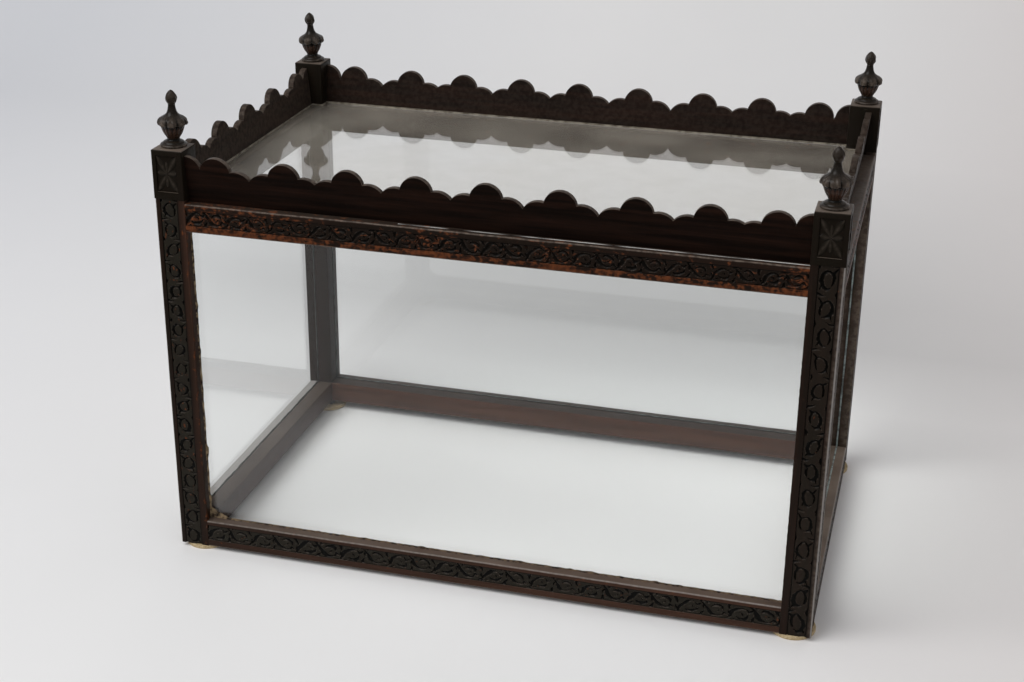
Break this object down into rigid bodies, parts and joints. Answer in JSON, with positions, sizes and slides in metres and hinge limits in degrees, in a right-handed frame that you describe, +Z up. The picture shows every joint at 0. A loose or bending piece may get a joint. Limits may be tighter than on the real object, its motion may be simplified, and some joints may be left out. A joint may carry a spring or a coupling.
{
  "type": "wardian case",
  "caption": "Glazed wardian case in carved dark hardwood: open-bottomed rectangular glass cover with a scalloped gallery and turned corner finials, for growing or showing plants.",
  "frame": {"origin": "middle of the footprint, on the underside of the foot pads", "axes": "+X along the length, to the right seen from the front; +Y from the front to the back; +Z up"},
  "size_m": [0.475, 0.285, 0.3483],
  "materials": {
    "post-wood": "carved, dark stain and wax, worn",
    "top-rail-wood": "carved, dark stain worn to reddish brown",
    "bottom-rail-wood": "carved, dark stain, dusty ledges",
    "glass": "clear, old, slightly uneven",
    "putty": "hard old putty, dark, flecked",
    "top-putty": "hard old putty, pale",
    "block-wood": "carved, dark, greyed on top",
    "board-wood": "waxed, dark red-brown",
    "finial-wood": "turned and carved, dark, dusty",
    "pad": "tan cork or felt"
  },
  "bodies": {
    "root": {"post-front-left": "post-wood", "post-front-right": "post-wood", "post-back-left": "post-wood", "post-back-right": "post-wood", "top-rail-front": "top-rail-wood", "top-rail-back": "top-rail-wood", "top-rail-left": "top-rail-wood", "top-rail-right": "top-rail-wood", "bottom-rail-front": "bottom-rail-wood", "bottom-rail-back": "bottom-rail-wood", "bottom-rail-left": "bottom-rail-wood", "bottom-rail-right": "bottom-rail-wood", "glass-pane-front": "glass", "glass-pane-back": "glass", "glass-pane-left": "glass", "glass-pane-right": "glass", "glass-pane-top": "glass", "putty-front": "putty", "putty-back": "putty", "putty-left": "putty", "putty-right": "putty", "putty-top": "top-putty", "corner-block-front-left": "block-wood", "corner-block-front-right": "block-wood", "corner-block-back-left": "block-wood", "corner-block-back-right": "block-wood", "gallery-board-front": "board-wood", "gallery-board-back": "board-wood", "gallery-board-left": "board-wood", "gallery-board-right": "board-wood", "finial-front-left": "finial-wood", "finial-front-right": "finial-wood", "finial-back-left": "finial-wood", "finial-back-right": "finial-wood", "foot-pad-front-left": "pad", "foot-pad-front-right": "pad", "foot-pad-back-left": "pad", "foot-pad-back-right": "pad"}
  },
  "joints": []
}
